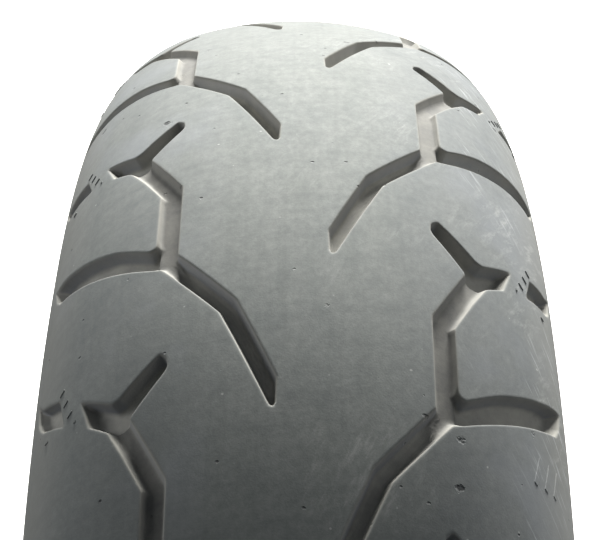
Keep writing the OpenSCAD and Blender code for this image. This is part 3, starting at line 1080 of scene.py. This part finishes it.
def cushion_rubber():
    """Black rubber that never sees daylight."""
    m = Shader("cushion_rubber")
    color = m.mix(m.noise(120, 4, 0.6), (0.018, 0.018, 0.02), (0.04, 0.039, 0.038))
    return m.finish(color, 0.7, Normal=m.bump(m.noise(600, 3, 0.6), 0.0003, 0.5))


def cord_ply(name, cord_color, pitch, slant):
    """Rubber with cords that show as fine parallel ridges."""
    m = Shader(name)
    place = m.stretched(1, 1, 1, (0, 0, slant))
    inputs = {"Vector": place, "Scale": 0.5 / pitch, "Distortion": 0.4}
    wave = m.add("ShaderNodeTexWave", inputs, bands_direction="X").outputs[1]
    cords = m.span(wave, 0.35, 0.85)
    cords = m.times(cords, m.span(m.noise(90, 3, 0.6), 0.2, 0.6))
    color = m.mix(cords, (0.03, 0.03, 0.03), cord_color)
    return m.finish(color, 0.65, Normal=m.bump(wave, 0.0004, 0.8))


def bead_wire():
    """Drawn steel wire with a bronze coat."""
    m = Shader("bead_wire")
    streak = m.streaks(3, 0.6, m.around_axle(6.0, 2200))
    color = m.mix(streak, (0.5, 0.3, 0.14), (0.75, 0.5, 0.28))
    rough = m.span(streak, 0.2, 0.8, 0.25, 0.45)
    return m.finish(color, rough, Normal=m.bump(streak, 0.0001, 0.5), Metallic=1.0)


def paint_hidden_nodes():
    """Gives each CAD node that stays its own kind of material."""
    kinds = {
        ("tread_base", "belt_cushion", "bead_insulation", "bead_filler"): cushion_rubber(),
        ("cap_ply", "carcass_ply", "flipper"): cord_ply(
            "textile_cord", (0.3, 0.25, 0.17), 0.0011, 0),
        ("belt_upper", "belt_lower"): cord_ply("belt_cord", (0.4, 0.36, 0.24), 0.0013, 24),
        ("bead_wires",): bead_wire(),
    }
    for name, node in frame["nodes"].items():
        for starts, material in kinds.items():
            if name.startswith(starts):
                node.data.materials.clear()
                node.data.materials.append(material)


# ---- Assembly ----

tread_material = tread_rubber()
sidewall_material = sidewall_rubber()
bead_material = bead_rubber()

build_tread(tread_material)
both_sides("sidewall_skin", sidewall_section(), sidewall_material, "sidewall")
both_sides("rim_strip_skin", rim_strip_section(), bead_material, "rim_strip")
both_sides("bead_skin", chafer_section(), bead_material, "chafer")
build_liner(liner_rubber())
for side, label in ((1, "right"), (-1, "left")):
    raised(f"tread_marks_{label}", shoulder_marks(side), side, tread_material)
    for name, strokes in (("marks", sidewall_marks()), ("ribs", serration_ribs())):
        raised(f"sidewall_{name}_{label}", strokes, side, sidewall_material)
paint_hidden_nodes()


# ---- Floor, light and camera ----


def build_floor():
    """Wide pale floor that lights only what the camera sees of it, not the tire."""
    half = 14.0
    z = cad_box[0][2]
    corners = [(-half, -half, z), (half, -half, z), (half, half, z), (-half, half, z)]
    mesh = bpy.data.meshes.new("floor")
    mesh.from_pydata(corners, [], [(0, 1, 2, 3)])
    m = Shader("floor_paper")
    color = m.mix(m.noise(3, 2, 0.5), (0.9, 0.9, 0.9), (0.93, 0.93, 0.93))
    paper = m.finish(color, 0.9, Emission_Color=(1, 1, 1, 1), Emission_Strength=0.25)
    mesh.materials.append(paper)
    floor = in_scene("floor", mesh)
    floor.visible_diffuse = False
    floor.visible_glossy = False
    floor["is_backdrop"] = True


def sun(name, azimuth, elevation, strength, spread, color=(1, 1, 1)):
    """Soft distant light from an azimuth, 0 at +X and 90 at +Y, and an elevation in degrees."""
    light = bpy.data.lights.new(name, "SUN")
    light.energy = strength
    light.color = color
    light.angle = math.radians(spread)
    a, e = math.radians(azimuth), math.radians(elevation)
    towards = Vector((math.cos(e) * math.cos(a), math.cos(e) * math.sin(a), math.sin(e)))
    obj = in_scene(name, light)
    obj.rotation_euler = towards.to_track_quat("Z", "Y").to_euler()
    return obj


def light_only(lights, objects):
    """Lets lights reach only some objects."""
    receivers = bpy.data.collections.new("lit_from_the_sides")
    for obj in objects:
        receivers.objects.link(obj)
    for light in lights:
        light.light_linking.receiver_collection = receivers


def build_world():
    """White behind the object for the camera, and dim cool light that is weaker from the front."""
    world = bpy.data.worlds.new("studio")
    bpy.context.scene.world = world
    w = Shader(world, "Background", "Generated")
    seen = w.add("ShaderNodeLightPath").outputs["Is Camera Ray"]
    light = w.span(w.axes[0], -1.0, 1.0, 0.11, 0.08)
    w.put(w.surface.inputs["Strength"],
          w.add("ShaderNodeMix", {0: seen, 2: light, 3: 1.0}).outputs[0])
    w.put(w.surface.inputs["Color"], w.mix(seen, (0.87, 0.95, 1.04), (1.0, 1.0, 1.0)))


def build_camera():
    """Looks down on the crown from just above and in front of it."""
    place = Vector((685.0, -6.8, 503.7)) * MM
    down, turn, roll = (math.radians(v) for v in (20.96, 0.56, 1.02))
    ahead = Vector(
        (-math.cos(down) * math.cos(turn), math.sin(turn), -math.sin(down) * math.cos(turn))
    )
    right = ahead.cross(Vector((0, 0, 1))).normalized()
    up = right.cross(ahead)
    axis_x = right * math.cos(roll) + up * math.sin(roll)
    axis_y = up * math.cos(roll) - right * math.sin(roll)
    camera = in_scene("camera", bpy.data.cameras.new("camera"))
    camera.data.lens = 118.7
    camera.data.sensor_width = 36
    camera.matrix_world = Matrix((axis_x, axis_y, -ahead)).transposed().to_4x4()
    camera.location = place
    bpy.context.scene.camera = camera


WARM = (1.0, 0.985, 0.955)

build_floor()
build_world()
sun("key_behind", 180, 36, 9.9, 18, WARM)
sun("key_behind_right", 160, 36, 7.1, 18, WARM)
sun("side_left", -98, 6, 1.9, 50)
sun("side_right", 86, 24, 0.6, 50)
sun("front_high", 0, 60, 0.07, 75)
side_fill = [sun("fill_right", 75, 25, 2.2, 60), sun("fill_left", -75, 25, 2.2, 60)]
light_only(side_fill, [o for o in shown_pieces() if "tread" not in o.name])
build_camera()
bpy.context.scene.view_settings.view_transform = "Standard"
